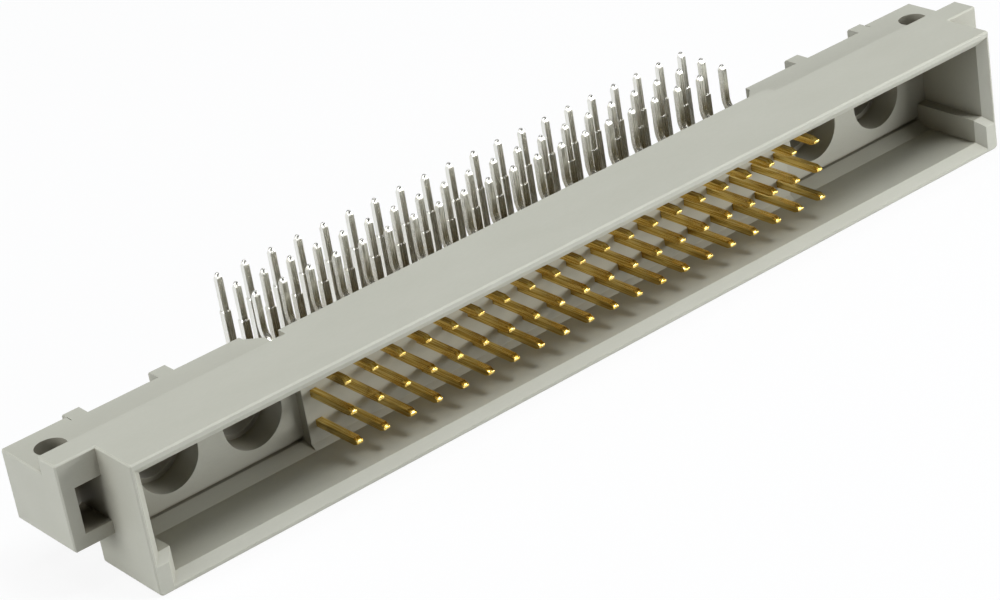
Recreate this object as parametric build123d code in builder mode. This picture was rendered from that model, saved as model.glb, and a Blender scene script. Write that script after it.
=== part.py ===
from build123d import *
import os

os.makedirs("parts", exist_ok=True)

# Right-angle male backplane connector, lying on the long side of its shroud, solder tips up.
# X runs along the connector and Y from the mating side to the solder side.
# Depths are measured back from the mating face, heights up from the table. All sizes are in millimetres.

# Contact grid
pitch = 2.54                # between columns, between mating rows and between solder rows
column_count = 20
row_count = 3
row_above_floor = 4.45      # middle row of contacts over the floor of the mouth

# Along the length
zone_margin = 1.07          # from the last column to the end of the contact panel
cavity_margin = 5.82        # from the last cavity to the inside of the end wall
end_wall = 0.95
ear_margin = 2.55           # from the fixing hole to the outer end of the ear
ear_length = 5.6            # of the part of the ear that stands behind the end block
key_width = 1.0             # polarising blocks in the lower corners of the mouth
block_corner = 1.15         # cut off each end block beside the solder tips
block_corner_depth = 0.5    # straight part between that cut and the back of the block

# Heights
bottom_wall = 1.05
mouth_height = 8.6
top_wall = 1.19
raised_top = 1.35           # the top over the mouth stands this much above the board seat
key_height = 2.07           # above the floor of the mouth
block_bottom = 1.0
ear_bottom = 3.7

# Depths
mouth_depth = 6.45          # mating face to contact panel
cavity_step = 0.83          # the cavity panels lie deeper than the contact panel
contact_wall = 2.85         # thickness of the wall that holds the contacts
cavity_wall = 4.52          # thickness of the end blocks behind the cavity panels
shroud_skin = 0.12          # bottom and end walls run this far past the cavity panels
raised_over_contacts = 1.43 # the raised top runs this far past the contact panel
raised_over_ends = 0.45     # and this far past it outside the contact panel
ear_front = 4.6
first_row_margin = 2.6      # from the back of the contact wall to the first solder row
fixing_hole_margin = 0.4    # from the back of the contact wall to the axes of the fixing holes
ear_back_margin = 2.8       # behind the axis of the fixing hole

# Details of the moulding
lead_in = 0.7               # chamfer all round the mouth
ceiling_fill = 1.2          # 45 degree fill in the inner top corner of the mouth
panel_ramp = (0.5, 0.39)    # length and height of the slope at the foot of the contact panel
cavity_ramp = (1.33, 0.55)  # the same at the foot of the cavity panels
groove_height = 0.37        # shadow groove along the foot of each cavity panel
groove_depth = 0.4
rib_width = 1.4
rib_length = 1.47           # on the back of the end blocks
rib_bevel = 0.2
fixing_hole_radius = 1.25
pocket_width = 2.25         # core pocket in the front of each ear, beside the shroud
pocket_height = 3.79
pocket_lift = 1.06          # above the underside of the ear
cavity_radius = 2.65        # seats for the four large special contacts
cavity_seat_depth = 2.6
cavity_bore_radius = 2.25
corner_radius = 0.4         # long lower corners of the shroud
edge_break = 0.12           # other outer edges

# Contacts
pin_width = 0.6             # square mating pin
pin_set_back = 1.27         # the pins end this far inside the mouth
pin_point_length = 0.5      # chisel point, steep above and below
pin_point_height = 0.2
pin_side_bevel = 0.05       # and slightly narrowed
pin_clearance = 0.01        # round the pin in its hole
wire_width = 0.65           # square wire of the two longer contacts
tail_width = 0.52           # square tail, and the whole wire of the short contacts
bend_radius = 1.5           # of the centre line
bend_run_out = 0.25         # straight end of the short contacts' bend
collar_width = 0.8          # stop against the back of the wall
collar_length = 0.6
shoulder_height = 0.1       # slope from the wire to the tail
shoulder_drop = 0.19        # the slope ends this far below the board seat
tail_length = 3.0           # above the board seat
tail_point_length = 0.45
tail_point_width = 0.2

# Heights that follow
ceiling = bottom_wall + mouth_height
top = ceiling + top_wall
seat = top - raised_top
middle_row = bottom_wall + row_above_floor
shoulder_end = seat - shoulder_drop
tail_end = seat + tail_length

# Places along the length that follow
last_column = (column_count - 1) / 2 * pitch
column_places = [number * pitch - last_column for number in range(column_count)]
zone_end = last_column + zone_margin
inner_cavity = last_column + 2 * pitch
outer_cavity = last_column + 5 * pitch
rib_places = [(inner_cavity + outer_cavity) / 2, outer_cavity + 1.5 * pitch]
mouth_end = outer_cavity + cavity_margin
shroud_end = mouth_end + end_wall
fixing_hole_place = last_column + 8 * pitch
ear_end = fixing_hole_place + ear_margin

# Depths that follow
cavity_panel = mouth_depth + cavity_step
wall_back = mouth_depth + contact_wall
raised_back = mouth_depth + raised_over_contacts
raised_at_ends = mouth_depth + raised_over_ends
shroud_back = cavity_panel + shroud_skin
block_back = cavity_panel + cavity_wall
solder_rows = [wall_back + first_row_margin + row * pitch for row in range(row_count)]
hole_depth = wall_back + fixing_hole_margin
ear_back = hole_depth + ear_back_margin
overall_depth = solder_rows[-1] + wire_width / 2


# Working planes. The mating face is placed so that the connector is centred over its origin.
mating_face = -overall_depth / 2
plan = Plane(origin=(0, mating_face, 0), x_dir=(1, 0, 0), z_dir=(0, 0, 1))
front = Plane(origin=(0, mating_face, 0), x_dir=(1, 0, 0), z_dir=(0, -1, 0))
side = Plane(origin=(0, mating_face, 0), x_dir=(0, 1, 0), z_dir=(1, 0, 0))


def across(half_length, low, high):
    """Rectangle centred along the length, between two depths or heights of the sketch."""
    with Locations((0, low)):
        Rectangle(2 * half_length, high - low, align=(Align.CENTER, Align.MIN))


def at_both_ends(near, far, low, high, mode=Mode.ADD):
    """The same rectangle at both ends of the connector, between two distances from its middle."""
    with Locations(*[(end * (near + far) / 2, (low + high) / 2) for end in (-1, 1)]):
        Rectangle(far - near, high - low, mode=mode)


# Housing: one moulding with the shroud, the contact wall, two end blocks and two fixing ears
with BuildPart() as housing:
    # Shroud and contact wall up to the board seat
    with BuildSketch(plan):
        across(shroud_end, 0, shroud_back)
        across(zone_end, 0, wall_back)
    extrude(amount=seat)

    # Raised top, which steps back over the contacts and runs out over the ears
    with BuildSketch(plan.offset(seat)):
        across(shroud_end, 0, raised_at_ends)
        across(zone_end, 0, raised_back)
        at_both_ends(shroud_end, ear_end, ear_front, raised_at_ends)
    extrude(amount=raised_top)

    # End blocks round the cavities, with the corner beside the solder tips cut off
    with BuildSketch(plan.offset(block_bottom)):
        for end in (-1, 1):
            with BuildLine():
                Polyline(
                    (end * zone_end, mouth_depth),
                    (end * zone_end, block_back - block_corner_depth - block_corner),
                    (end * (zone_end + block_corner), block_back - block_corner_depth),
                    (end * (zone_end + block_corner), block_back),
                    (end * mouth_end, block_back),
                    (end * mouth_end, mouth_depth),
                    close=True,
                )
            make_face()
    extrude(amount=seat - block_bottom)

    # Ribs on the back of the end blocks, in line with the walls between the cavities
    with BuildSketch(plan.offset(block_bottom)):
        for place in rib_places:
            at_both_ends(place - rib_width / 2, place + rib_width / 2, block_back, block_back + rib_length)
    extrude(amount=seat - block_bottom)

    # Fixing ears
    with BuildSketch(plan.offset(ear_bottom)):
        at_both_ends(ear_end - ear_length, ear_end, ear_front, ear_back)
    extrude(amount=seat - ear_bottom)

    # Mouth, with a polarising block left standing in each lower corner
    with BuildSketch(front):
        across(mouth_end, bottom_wall, ceiling)
        at_both_ends(mouth_end - key_width, mouth_end, bottom_wall, bottom_wall + key_height, Mode.SUBTRACT)
    extrude(amount=-mouth_depth, mode=Mode.SUBTRACT)

    # Its deeper ends in front of the cavity panels
    with BuildSketch(front.offset(-mouth_depth)):
        at_both_ends(zone_end, mouth_end, bottom_wall, ceiling)
        at_both_ends(mouth_end - key_width, mouth_end, bottom_wall, bottom_wall + key_height, Mode.SUBTRACT)
    extrude(amount=-cavity_step, mode=Mode.SUBTRACT)

    # Slopes at the foot of the panels, and the fill under the ceiling
    slopes = [(*panel_ramp, mouth_depth, 0, zone_end), (*cavity_ramp, cavity_panel, zone_end, mouth_end)]
    for length, height, panel, near, far in slopes:
        for end in (-1, 1):
            with BuildSketch(side.offset(end * near)):
                with BuildLine():
                    Polyline(
                        (panel - length, bottom_wall),
                        (panel, bottom_wall + height),
                        (panel, bottom_wall),
                        close=True,
                    )
                make_face()
            extrude(amount=end * (far - near))
    with BuildSketch(side):
        with BuildLine():
            Polyline(
                (cavity_panel - ceiling_fill, ceiling),
                (cavity_panel, ceiling),
                (cavity_panel, ceiling - ceiling_fill),
                close=True,
            )
        make_face()
    extrude(amount=mouth_end, both=True)

    # Shadow groove along the foot of each cavity panel
    with BuildSketch(front.offset(-cavity_panel)):
        groove_bottom = bottom_wall + cavity_ramp[1]
        at_both_ends(zone_end, mouth_end - key_width, groove_bottom, groove_bottom + groove_height)
    extrude(amount=-groove_depth, mode=Mode.SUBTRACT)

    # Lead-in all round the mouth
    rim = housing.faces().sort_by(Axis.Y)[0]
    chamfer(rim.inner_wires()[0].edges(), length=lead_in)

    # Stepped cavities for four large contacts
    with Locations(front.offset(-cavity_panel)):
        with Locations(*[(end * place, middle_row) for end in (-1, 1) for place in (inner_cavity, outer_cavity)]):
            CounterBoreHole(cavity_bore_radius, cavity_radius, cavity_seat_depth)

    # Square holes for the contacts
    with BuildSketch(front.offset(-mouth_depth)):
        with Locations((0, middle_row)):
            with GridLocations(pitch, pitch, column_count, row_count):
                Rectangle(pin_width + 2 * pin_clearance, pin_width + 2 * pin_clearance)
    extrude(amount=-contact_wall, mode=Mode.SUBTRACT)

    # Core pocket in the front of each ear, which opens into the fixing hole
    with BuildSketch(front.offset(-ear_front)):
        pocket_bottom = ear_bottom + pocket_lift
        at_both_ends(shroud_end, shroud_end + pocket_width, pocket_bottom, pocket_bottom + pocket_height)
    extrude(amount=ear_front - hole_depth, mode=Mode.SUBTRACT)
    with Locations(plan.offset(seat)):
        with Locations(*[(end * fixing_hole_place, hole_depth) for end in (-1, 1)]):
            Hole(fixing_hole_radius)

    # Bevels on the back of the ribs, round lower corners of the shroud, broken outer edges
    rib_edges = housing.edges().filter_by(Axis.X).group_by(Axis.Z)
    rib_tops = [group for group in rib_edges if abs(group[0].center().Z - seat) < rib_bevel]
    chamfer(ShapeList(rib_tops[0]).group_by(Axis.Y)[-1], length=rib_bevel)
    floor_edges = housing.edges().filter_by(Axis.Y).group_by(Axis.Z)[0].sort_by(Axis.X)
    fillet([floor_edges[0], floor_edges[-1]], radius=corner_radius)
    top_outline = housing.faces().sort_by(Axis.Z)[-1].outer_wire().edges()
    top_outline = top_outline.filter_by(lambda edge: edge.center().Y < mating_face + mouth_depth)
    rim_outline = housing.faces().sort_by(Axis.Y)[0].outer_wire().edges().sort_by(Axis.Z)[:-1]
    ears = [housing.faces().sort_by(Axis.X)[side_index] for side_index in (0, -1)]
    ear_outlines = [edge for ear in ears for edge in ear.outer_wire().edges().sort_by(Axis.Z)[:-1]]
    chamfer(top_outline + rim_outline + ear_outlines, length=edge_break)

housing.part.label = "housing"
export_step(housing.part, "parts/housing.step")


def right_angle_contact(height, solder_row, bend_width, bend_end):
    """One contact in the middle of the length: mating pin, bent wire and solder tail."""
    bend_start = wall_back + collar_length
    with BuildPart() as contact:
        # Mating pin, from the back of the wall to its chisel point
        with BuildSketch(front.offset(-wall_back)):
            with Locations((0, height)):
                Rectangle(pin_width, pin_width)
        extrude(amount=wall_back - pin_set_back)
        pin_end = contact.faces().sort_by(Axis.Y)[0]
        point_slope = (pin_width - pin_point_height) / 2
        chamfer(pin_end.edges().filter_by(Axis.X), length=point_slope, length2=pin_point_length, reference=pin_end)
        pin_end = contact.faces().sort_by(Axis.Y)[0]
        chamfer(pin_end.edges().filter_by(Axis.Z), length=pin_side_bevel)

        # Wide stop against the back of the wall
        with BuildSketch(front.offset(-wall_back)):
            with Locations((0, height)):
                Rectangle(collar_width, collar_width)
        extrude(amount=-collar_length)

        # Wire bent up towards the board
        with BuildLine(side):
            FilletPolyline(
                (bend_start, height),
                (solder_row, height),
                (solder_row, bend_end),
                radius=bend_radius,
            )
        with BuildSketch(front.offset(-bend_start)):
            with Locations((0, height)):
                Rectangle(bend_width, bend_width)
        sweep()

        # Shoulders, where the wire is wider than the tail
        wire_end = contact.faces().sort_by(Axis.Z)[-1]
        step = (bend_width - tail_width) / 2
        if step > 0:
            chamfer(wire_end.edges(), length=step, length2=shoulder_height, reference=wire_end)

        # Tail with a point of four slopes
        with BuildSketch(plan.offset(bend_end)):
            with Locations((0, solder_row)):
                Rectangle(tail_width, tail_width)
        extrude(amount=tail_end - bend_end)
        tip = contact.faces().sort_by(Axis.Z)[-1]
        tip_slope = (tail_width - tail_point_width) / 2
        chamfer(tip.edges(), length=tip_slope, length2=tail_point_length, reference=tip)
    return contact.part


# The three forms of contact: the top row is short and of slim wire, the lower two are of thick wire
top_contact = right_angle_contact(
    middle_row + pitch, solder_rows[0], tail_width, middle_row + pitch + bend_radius + bend_run_out
)
middle_contact = right_angle_contact(middle_row, solder_rows[1], wire_width, shoulder_end)
bottom_contact = right_angle_contact(middle_row - pitch, solder_rows[2], wire_width, shoulder_end)

# Twenty columns, each of three separate contacts
for number, place in enumerate(column_places, start=1):
    with BuildPart() as column:
        with Locations((place, 0, 0)):
            add([top_contact, middle_contact, bottom_contact])
    column.part.label = f"contacts_{number:02d}"
    export_step(column.part, f"parts/contacts_{number:02d}.step")
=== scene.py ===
# %% [markdown]
# A right-angle backplane connector, lying on a white table. On the real object a grey moulding
# carries sixty contacts of bent square wire, gold where they mate and tinned where they are
# soldered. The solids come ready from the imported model. This script gives them the softness of
# moulded and drawn edges, their finishes, a studio and the camera.

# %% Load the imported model
import bpy
from math import radians
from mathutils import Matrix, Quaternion, Vector


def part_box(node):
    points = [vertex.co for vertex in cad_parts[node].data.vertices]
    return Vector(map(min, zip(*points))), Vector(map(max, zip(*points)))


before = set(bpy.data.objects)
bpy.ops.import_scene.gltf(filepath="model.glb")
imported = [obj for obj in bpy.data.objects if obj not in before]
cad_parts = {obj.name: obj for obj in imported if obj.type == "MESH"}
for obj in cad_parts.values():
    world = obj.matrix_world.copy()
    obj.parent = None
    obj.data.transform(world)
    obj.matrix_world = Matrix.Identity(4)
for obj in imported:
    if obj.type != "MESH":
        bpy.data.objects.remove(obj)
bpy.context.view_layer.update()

MM = 0.001

# %% [markdown]
# The housing and the contacts are told apart by name. The place of the mating face and the
# height of the table are read from the housing's box, so they follow the model if it changes.

# %% Find the pieces
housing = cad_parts["housing"]
contacts = [
    node for name, node in sorted(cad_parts.items()) if name.startswith("contacts")
]
housing_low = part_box("housing")[0]
mating_face = housing_low.y
table_height = housing_low.z
print("contact columns:", len(contacts), "mating face at", round(mating_face / MM, 2), "mm")

# %% [markdown]
# A moulded edge is never sharp: the steel of the mould has a small radius everywhere, and it is
# this radius that catches the light as a thin pale line. A bevel of a few hundredths of a
# millimetre does the same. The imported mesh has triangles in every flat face, so these are first
# dissolved into whole faces, and the bevel then meets only real edges. Its limit of 20 degrees
# lies between the facets of the round holes, which turn by 10 at most, and the slopes in the
# mouth, which turn by 22.5.

# %% Soften edges
WELD_REACH = 0.002 * MM
FLAT = radians(1)
EDGE = radians(20)
HOUSING_EDGE = 0.06 * MM
CONTACT_EDGE = 0.015 * MM
EDGE_SLOT = 1


def soften_edges(piece, radius, segments, edge_slot=-1):
    """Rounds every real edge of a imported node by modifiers, which leave its own mesh alone."""
    weld = piece.modifiers.new("weld", "WELD")
    weld.merge_threshold = WELD_REACH
    flat = piece.modifiers.new("whole_faces", "DECIMATE")
    flat.decimate_type = "DISSOLVE"
    flat.angle_limit = FLAT
    bevel = piece.modifiers.new("soft_edges", "BEVEL")
    bevel.width = radius
    bevel.segments = segments
    bevel.limit_method = "ANGLE"
    bevel.angle_limit = EDGE
    bevel.material = edge_slot
    piece.data.shade_smooth()
    smooth = piece.modifiers.new("flat_stays_flat", "WEIGHTED_NORMAL")
    smooth.keep_sharp = True


def count_triangles(piece):
    """How many triangles a piece has with its modifiers applied."""
    graph = bpy.context.evaluated_depsgraph_get()
    mesh = piece.evaluated_get(graph).to_mesh()
    mesh.calc_loop_triangles()
    return len(mesh.loop_triangles)


soften_edges(housing, HOUSING_EDGE, 2, EDGE_SLOT)
for column in contacts:
    soften_edges(column, CONTACT_EDGE, 1)
print("housing triangles:", count_triangles(housing))
print("triangles of one column:", count_triangles(contacts[0]))

# %% [markdown]
# Materials are built from nodes. Small helpers keep that short: one makes an empty material with
# one shader, one adds a node, sets its values and links its inputs, and one puts materials on a
# piece.

# %% Material helpers
def new_material(name):
    """A material with one Principled shader, its tree and that shader."""
    material = bpy.data.materials.new(name)
    material.use_nodes = True
    tree = material.node_tree
    return material, tree, tree.nodes["Principled BSDF"]


def add_node(tree, kind, settings=None, values=None, links=None):
    """Adds a node, with its settings, its socket values and the outputs that feed it."""
    node = tree.nodes.new(kind)
    for name, value in (settings or {}).items():
        setattr(node, name, value)
    for name, value in (values or {}).items():
        node.inputs[name].default_value = value
    for name, output in (links or {}).items():
        tree.links.new(output, node.inputs[name])
    return node


def give(piece, *materials):
    """Puts these materials on the slots of a piece."""
    piece.data.materials.clear()
    for material in materials:
        piece.data.materials.append(material)


# %% [markdown]
# Real surfaces are never even. The patterns here are noise that is fixed to the piece itself and
# stretched along it, which is simpler than a painted picture and needs no unwrapping. They feed
# the colour, the gloss and the relief alike, so that the three agree.

# %% Pattern helpers
NOISE_LOW = 0.3
NOISE_HIGH = 0.7
CLOUDY = (4.0, 0.5)
SPECKLED = (2.0, 0.6)
GRAINY = (3.0, 0.6)
OPENNESS_RAYS = 8


def noise(tree, spacing, detail, roughness):
    """A noise on the piece itself, with its own spacing in millimetres along X, Y and Z."""
    place = add_node(tree, "ShaderNodeTexCoord")
    scale = [1 / (size * MM) for size in spacing]
    stretched = add_node(
        tree,
        "ShaderNodeMapping",
        values={"Scale": scale},
        links={"Vector": place.outputs["Object"]},
    )
    cloud = add_node(
        tree,
        "ShaderNodeTexNoise",
        values={"Scale": 1.0, "Detail": detail, "Roughness": roughness},
        links={"Vector": stretched.outputs["Vector"]},
    )
    return cloud.outputs["Fac"]


def blend_colours(tree, share, first, second):
    """A colour between two, by a share from 0 to 1."""
    mix = add_node(tree, "ShaderNodeMix", settings={"data_type": "RGBA"}, links={0: share})
    for socket, colour in ((6, first), (7, second)):
        if isinstance(colour, tuple):
            mix.inputs[socket].default_value = (*colour, 1)
        else:
            tree.links.new(colour, mix.inputs[socket])
    return mix.outputs[2]


def spread(tree, value, low, high):
    """Stretches the middle of a noise, where nearly all of it lies, to a range."""
    span = add_node(
        tree,
        "ShaderNodeMapRange",
        values={"From Min": NOISE_LOW, "From Max": NOISE_HIGH, "To Min": low, "To Max": high},
        links={"Value": value},
    )
    return span.outputs["Result"]


def openness(tree, reach, alone=True):
    """1 on open faces, less where walls are within reach: its own alone, or any piece's."""
    corner = add_node(
        tree,
        "ShaderNodeAmbientOcclusion",
        settings={"samples": OPENNESS_RAYS, "only_local": alone},
        values={"Distance": reach},
    )
    return corner.outputs["AO"]


def bumps(tree, height, depth, strength):
    """A relief of a depth in millimetres."""
    relief = add_node(
        tree,
        "ShaderNodeBump",
        values={"Strength": strength, "Distance": depth * MM},
        links={"Height": height},
    )
    return relief.outputs["Normal"]


# %% [markdown]
# The housing is a warm grey glass-filled plastic. Its colour is almost even, with a faint cloudy
# mottle from the flow of the melt and a fine speckle of glass fibres along the moulding, and its
# surface is finely grained, so it has no clear reflections. Recesses are darker and warmer than
# these lamps make them, as light is that has met several walls, so painted shade darkens and
# warms the colour by the openness of each place. The edges get a painted highlight: the bevel's
# faces get a second version of the material, a little paler and yellower.

# %% Grey moulded plastic
FLOW_SPACING = (6.0, 3.0, 3.0)
FIBRE_SPACING = (0.5, 0.12, 0.12)
FIBRE_TINT = 0.93
FIBRE_SHARE = 0.30
GRAIN_SPACING = (0.09, 0.09, 0.09)
GRAIN_DEPTH = 0.01
GRAIN_STRENGTH = 0.25
RECESS_REACH = 6 * MM
# Painted shade: in the deepest recesses the colour is multiplied by these shares.
RECESS_SHADE_TINT = (0.50, 0.45, 0.38)
FACE_COLOURS = ((0.412, 0.407, 0.342), (0.432, 0.427, 0.362))
FACE_ROUGHNESS = 0.55
# Painted highlight: the bevel's faces are paler and yellower than the flat faces.
EDGE_HIGHLIGHT_COLOURS = ((0.475, 0.465, 0.380), (0.505, 0.495, 0.405))
EDGE_ROUGHNESS = 0.45
SMOOTHER = 0.04
ROUGHER = 0.06
PLASTIC_SHINE = 0.4


def grey_plastic(name, dark, light, roughness):
    """The plastic between two colours, with painted shade near walls and grain in its roughness.
    """
    material, tree, shader = new_material(name)
    flow = spread(tree, noise(tree, FLOW_SPACING, *CLOUDY), 0.0, 1.0)
    cloudy = blend_colours(tree, flow, dark, light)
    fibres = spread(tree, noise(tree, FIBRE_SPACING, *SPECKLED), 0.0, 1.0)
    few = add_node(
        tree,
        "ShaderNodeMath",
        settings={"operation": "MULTIPLY"},
        values={1: FIBRE_SHARE},
        links={0: fibres},
    )
    speck = tuple(value * FIBRE_TINT for value in dark)
    moulded = blend_colours(tree, few.outputs[0], cloudy, speck)
    # Painted shade: darker and warmer colour where walls are near.
    recess_shade_colour = tuple(value * share for value, share in zip(dark, RECESS_SHADE_TINT))
    shaded = blend_colours(tree, openness(tree, RECESS_REACH), recess_shade_colour, moulded)
    tree.links.new(shaded, shader.inputs["Base Color"])
    grain = noise(tree, GRAIN_SPACING, *GRAINY)
    tree.links.new(bumps(tree, grain, GRAIN_DEPTH, GRAIN_STRENGTH), shader.inputs["Normal"])
    varied = spread(tree, grain, roughness - SMOOTHER, roughness + ROUGHER)
    tree.links.new(varied, shader.inputs["Roughness"])
    shader.inputs["Specular IOR Level"].default_value = PLASTIC_SHINE
    return material


faces = grey_plastic("grey_plastic", *FACE_COLOURS, FACE_ROUGHNESS)
# The second material gives the edges a painted highlight.
edge_highlight_plastic = grey_plastic("grey_plastic_edge_highlight", *EDGE_HIGHLIGHT_COLOURS, EDGE_ROUGHNESS)
give(housing, faces, edge_highlight_plastic)
print("housing:", [slot.name for slot in housing.data.materials])

# %% [markdown]
# Each contact is one piece of square wire with two platings. The mating end is gold over nickel,
# the solder end bright tin, and the change lies inside the wall, where nobody sees it. One
# material covers both: the place along the connector's depth chooses the plating. The die that
# drew the wire left fine lines along it, which follow the pin in front and the tail behind. They
# are a shallow relief and a change of colour and gloss in one. Low down between their neighbours
# the tails look dark and brownish, because they mirror the shaded housing. A painted reflection
# of that shade, by the openness of each place, adds to what the render mirrors by itself.

# %% Gold and tin
PANEL_DEPTH = 6.45 * MM
GOLD_BEHIND_PANEL = 1.0 * MM
LINE_WIDTH = 0.11
LINE_LENGTH = 5.0
LINE_CONTRAST = (-0.9, 1.9)
LINE_DEPTH = 0.03
LINE_STRENGTH = 0.7
GOLD = ((0.610, 0.385, 0.062), (0.980, 0.730, 0.240))
TIN = ((0.840, 0.820, 0.740), (0.920, 0.910, 0.850))
# Painted reflection of the shaded housing, dark and brownish, on the tails low down.
MIRRORED_SHADE_TIN = (0.230, 0.160, 0.030)
MIRRORED_SHADE_REACH = 7 * MM
FULL_SHADE_UP_TO = 0.22
SHADE_FREE_FROM = 0.62
GOLD_ROUGHNESS = (0.24, 0.12)
TIN_ROUGHNESS = (0.36, 0.14)


def plated_contact(change_depth):
    """Gold in front of a depth, tin behind it, drawn lines on each, painted shade on the tin."""
    material, tree, shader = new_material("plated_contact")
    place = add_node(tree, "ShaderNodeTexCoord")
    parts = add_node(tree, "ShaderNodeSeparateXYZ", links={"Vector": place.outputs["Object"]})
    behind = add_node(
        tree,
        "ShaderNodeMath",
        settings={"operation": "GREATER_THAN"},
        values={1: change_depth},
        links={0: parts.outputs["Y"]},
    ).outputs[0]
    pin_lines = noise(tree, (LINE_WIDTH, LINE_LENGTH, LINE_WIDTH), *GRAINY)
    tail_lines = noise(tree, (LINE_WIDTH, LINE_WIDTH, LINE_LENGTH), *GRAINY)
    lines = add_node(
        tree, "ShaderNodeMix", links={0: behind, 2: pin_lines, 3: tail_lines}
    ).outputs[0]
    share = spread(tree, lines, *LINE_CONTRAST)
    gold = blend_colours(tree, share, *GOLD)
    bright = blend_colours(tree, share, *TIN)
    high = add_node(
        tree,
        "ShaderNodeMapRange",
        values={"From Min": FULL_SHADE_UP_TO, "From Max": SHADE_FREE_FROM},
        links={"Value": openness(tree, MIRRORED_SHADE_REACH, alone=False)},
    ).outputs["Result"]
    # Painted reflection of shade: the tin darkens where neighbours are near.
    tin = blend_colours(tree, high, MIRRORED_SHADE_TIN, bright)
    tree.links.new(blend_colours(tree, behind, gold, tin), shader.inputs["Base Color"])
    gloss = add_node(
        tree,
        "ShaderNodeMix",
        links={
            0: behind,
            2: spread(tree, lines, *GOLD_ROUGHNESS),
            3: spread(tree, lines, *TIN_ROUGHNESS),
        },
    ).outputs[0]
    tree.links.new(gloss, shader.inputs["Roughness"])
    tree.links.new(bumps(tree, lines, LINE_DEPTH, LINE_STRENGTH), shader.inputs["Normal"])
    shader.inputs["Metallic"].default_value = 1.0
    return material


plated = plated_contact(mating_face + PANEL_DEPTH + GOLD_BEHIND_PANEL)
for column in contacts:
    give(column, plated)
print("contacts:", plated.name)

# %% [markdown]
# The table is a large plain sheet. The camera sees nine tenths of it as plain white, as the
# background is, and the rest as an ordinary pale matt sheet, which keeps the soft shadow that the
# connector throws. The metal sees the same table with more of its shadow, because in the
# photograph the tails show the dark place under them.

# %% Table
TABLE_SIZE = 3.0
TABLE_COLOUR = (0.72, 0.72, 0.72, 1)
TABLE_ROUGHNESS = 0.9
CAMERA_GLOW = 0.9
METAL_GLOW = 0.15


def ray_share(tree, camera_share, metal_share):
    """One number for what the camera sees, another for what metal or glass shows, 0 for light."""
    rays = add_node(tree, "ShaderNodeLightPath")
    seen = None
    for kind, share in (
        ("Is Camera Ray", camera_share),
        ("Is Glossy Ray", metal_share),
        ("Is Transmission Ray", metal_share),
    ):
        part = add_node(
            tree,
            "ShaderNodeMath",
            settings={"operation": "MULTIPLY"},
            values={1: share},
            links={0: rays.outputs[kind]},
        ).outputs[0]
        if seen is not None:
            part = add_node(
                tree,
                "ShaderNodeMath",
                settings={"operation": "MAXIMUM"},
                links={0: seen, 1: part},
            ).outputs[0]
        seen = part
    return seen


def white_table():
    """Pale and matt under the lamps, nearly white for the camera."""
    material, tree, shader = new_material("white_table")
    shader.inputs["Base Color"].default_value = TABLE_COLOUR
    shader.inputs["Roughness"].default_value = TABLE_ROUGHNESS
    shader.inputs["Specular IOR Level"].default_value = 0.0
    glow = add_node(tree, "ShaderNodeEmission", values={"Color": (1, 1, 1, 1), "Strength": 1.0})
    mix = add_node(
        tree,
        "ShaderNodeMixShader",
        links={
            0: ray_share(tree, CAMERA_GLOW, METAL_GLOW),
            1: shader.outputs["BSDF"],
            2: glow.outputs["Emission"],
        },
    )
    tree.links.new(mix.outputs["Shader"], tree.nodes["Material Output"].inputs["Surface"])
    return material


bpy.ops.mesh.primitive_plane_add(size=TABLE_SIZE, location=(0, 0, table_height))
table = bpy.context.object
table.name = "table"
give(table, white_table())
print("table", TABLE_SIZE, "m across, at", round(table_height / MM, 2), "mm")

# %% [markdown]
# Bright metal is only as good as what it mirrors. All round, at the height of the table, the
# studio is white, and higher up it grows dark, so the tips of the tails get the dark outline that
# they have in the photograph. The camera sees the same room. It gives hardly any light.

# %% Studio room
ROOM_COLOUR = (1.0, 0.99, 0.97, 1)
ROOM_LIGHT = 0.02
ROOM_OVERHEAD = 0.12
WHITE_UP_TO = 0.04
DARK_FROM = 0.30


def studio_room():
    """A world that is white at the horizon, dark overhead, and hardly lights anything."""
    world = bpy.data.worlds.new("studio_room")
    world.use_nodes = True
    tree = world.node_tree
    light = tree.nodes["Background"]
    light.inputs["Color"].default_value = ROOM_COLOUR
    light.inputs["Strength"].default_value = ROOM_LIGHT
    way = add_node(tree, "ShaderNodeTexCoord")
    parts = add_node(tree, "ShaderNodeSeparateXYZ", links={"Vector": way.outputs["Generated"]})
    height = add_node(
        tree,
        "ShaderNodeMapRange",
        settings={"interpolation_type": "SMOOTHSTEP"},
        values={
            "From Min": WHITE_UP_TO,
            "From Max": DARK_FROM,
            "To Min": 1.0,
            "To Max": ROOM_OVERHEAD,
        },
        links={"Value": parts.outputs["Z"]},
    )
    room = add_node(
        tree,
        "ShaderNodeBackground",
        values={"Color": (1, 1, 1, 1)},
        links={"Strength": height.outputs["Result"]},
    )
    mix = add_node(
        tree,
        "ShaderNodeMixShader",
        links={
            0: ray_share(tree, 1.0, 1.0),
            1: light.outputs["Background"],
            2: room.outputs["Background"],
        },
    )
    tree.links.new(mix.outputs["Shader"], tree.nodes["World Output"].inputs["Surface"])
    return world


bpy.context.scene.world = studio_room()
print("room: white at the table, strength", ROOM_OVERHEAD, "overhead")

# %% [markdown]
# The shadows in the photograph tell where its lamps stood. The pins throw short sharp shadows on
# the floor of the mouth, so a small key lamp stands almost overhead, a little in front, with a
# broad soft one straight above. The pins throw other shadows sideways on the panel, so two weak
# lamps stand low in front on the right. The end faces are as bright as the top, so another one
# stands on the left. The inside of the mouth is dark, so little light comes from elsewhere, and
# the lamp behind only keeps the back from turning black. All have the colour of daylight.

# %% Lights
DAYLIGHT = (0.94, 0.965, 1.0)


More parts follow.
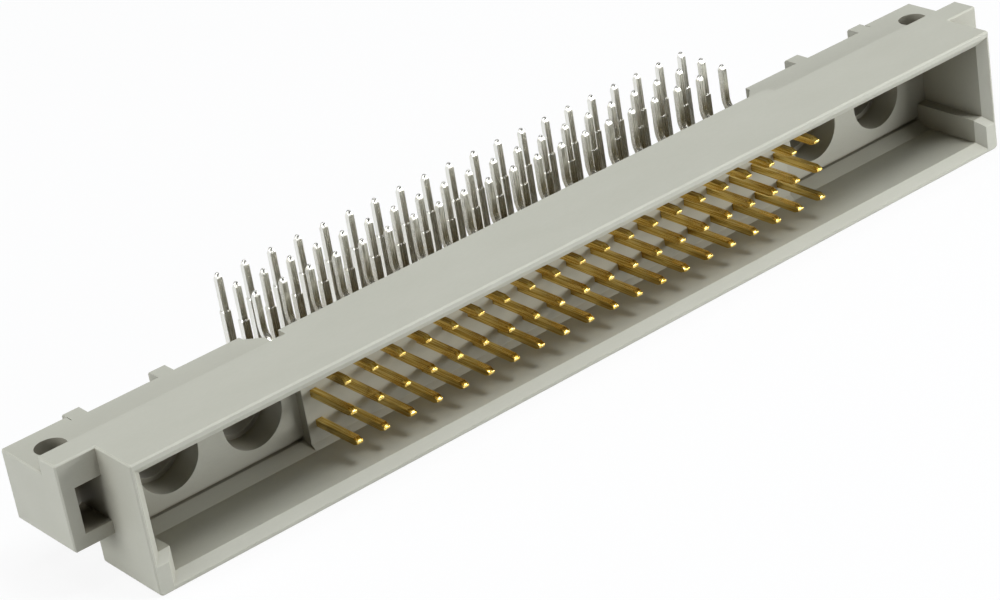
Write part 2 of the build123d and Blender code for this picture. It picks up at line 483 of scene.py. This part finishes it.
def softbox(name, direction, distance, width, height, power):
    """A rectangular lamp in metres and watts, in a direction from the connector, facing it."""
    lamp = bpy.data.lights.new(name, "AREA")
    lamp.shape = "RECTANGLE"
    lamp.size = width
    lamp.size_y = height
    lamp.energy = power
    lamp.color = DAYLIGHT
    holder = bpy.data.objects.new(name, lamp)
    toward = Vector(direction).normalized()
    holder.location = toward * distance
    holder.rotation_mode = "QUATERNION"
    holder.rotation_quaternion = (-toward).to_track_quat("-Z", "Y")
    bpy.context.scene.collection.objects.link(holder)
    return holder


lamps = [
    softbox("key", (0.265, -0.33, 1.0), 0.7, 0.16, 0.2, 2.15),
    softbox("zenith", (0.0, 0.0, 1.0), 0.5, 0.4, 0.2, 1.55),
    softbox("right_box", (0.78, -1.0, 0.2), 0.28, 0.14, 0.1, 0.52),
    softbox("right_side", (1.7, -1.0, 0.2), 0.3, 0.15, 0.1, 0.22),
    softbox("left_back", (-1.0, 0.12, 0.35), 0.6, 0.4, 0.3, 2.5),
    softbox("back_box", (0.4, 1.0, 0.35), 0.7, 0.5, 0.3, 0.1),
]
print("lamps:", [(lamp.name, round(lamp.data.energy, 2)) for lamp in lamps])

# %% [markdown]
# The camera stands far off to the left, above the connector, and looks along it with a long
# lens. Its place was found from the photograph, by fitting a camera to the grid of pins, whose
# pitch is known. It is rolled a little, which makes the connector climb to the right.

# %% Camera
IMAGE_WIDTH = 1000
FOCAL_LENGTH = 2981.8
SENSOR = 36.0
NEAREST = 0.01
FARTHEST = 10.0
CAMERA_PLACE = Vector((-125.19, -163.60, 109.24)) * MM
CAMERA_LOOK = Vector((0.51340, 0.73207, -0.44777))
CAMERA_ROLL = 9.7

lens = bpy.data.cameras.new("camera")
lens.sensor_width = SENSOR
lens.lens = FOCAL_LENGTH / IMAGE_WIDTH * SENSOR
lens.clip_start = NEAREST
lens.clip_end = FARTHEST
camera = bpy.data.objects.new("camera", lens)
camera.location = CAMERA_PLACE + Vector((0, mating_face, 0))
camera.rotation_mode = "QUATERNION"
level = CAMERA_LOOK.to_track_quat("-Z", "Y")
camera.rotation_quaternion = level @ Quaternion((0, 0, 1), -radians(CAMERA_ROLL))
bpy.context.scene.collection.objects.link(camera)
bpy.context.scene.camera = camera
bpy.context.scene.view_settings.view_transform = "Standard"
bpy.context.view_layer.update()
right = camera.matrix_world.to_3x3().col[0]
print("lens:", round(lens.lens, 2), "mm; right axis:", [round(value, 4) for value in right])
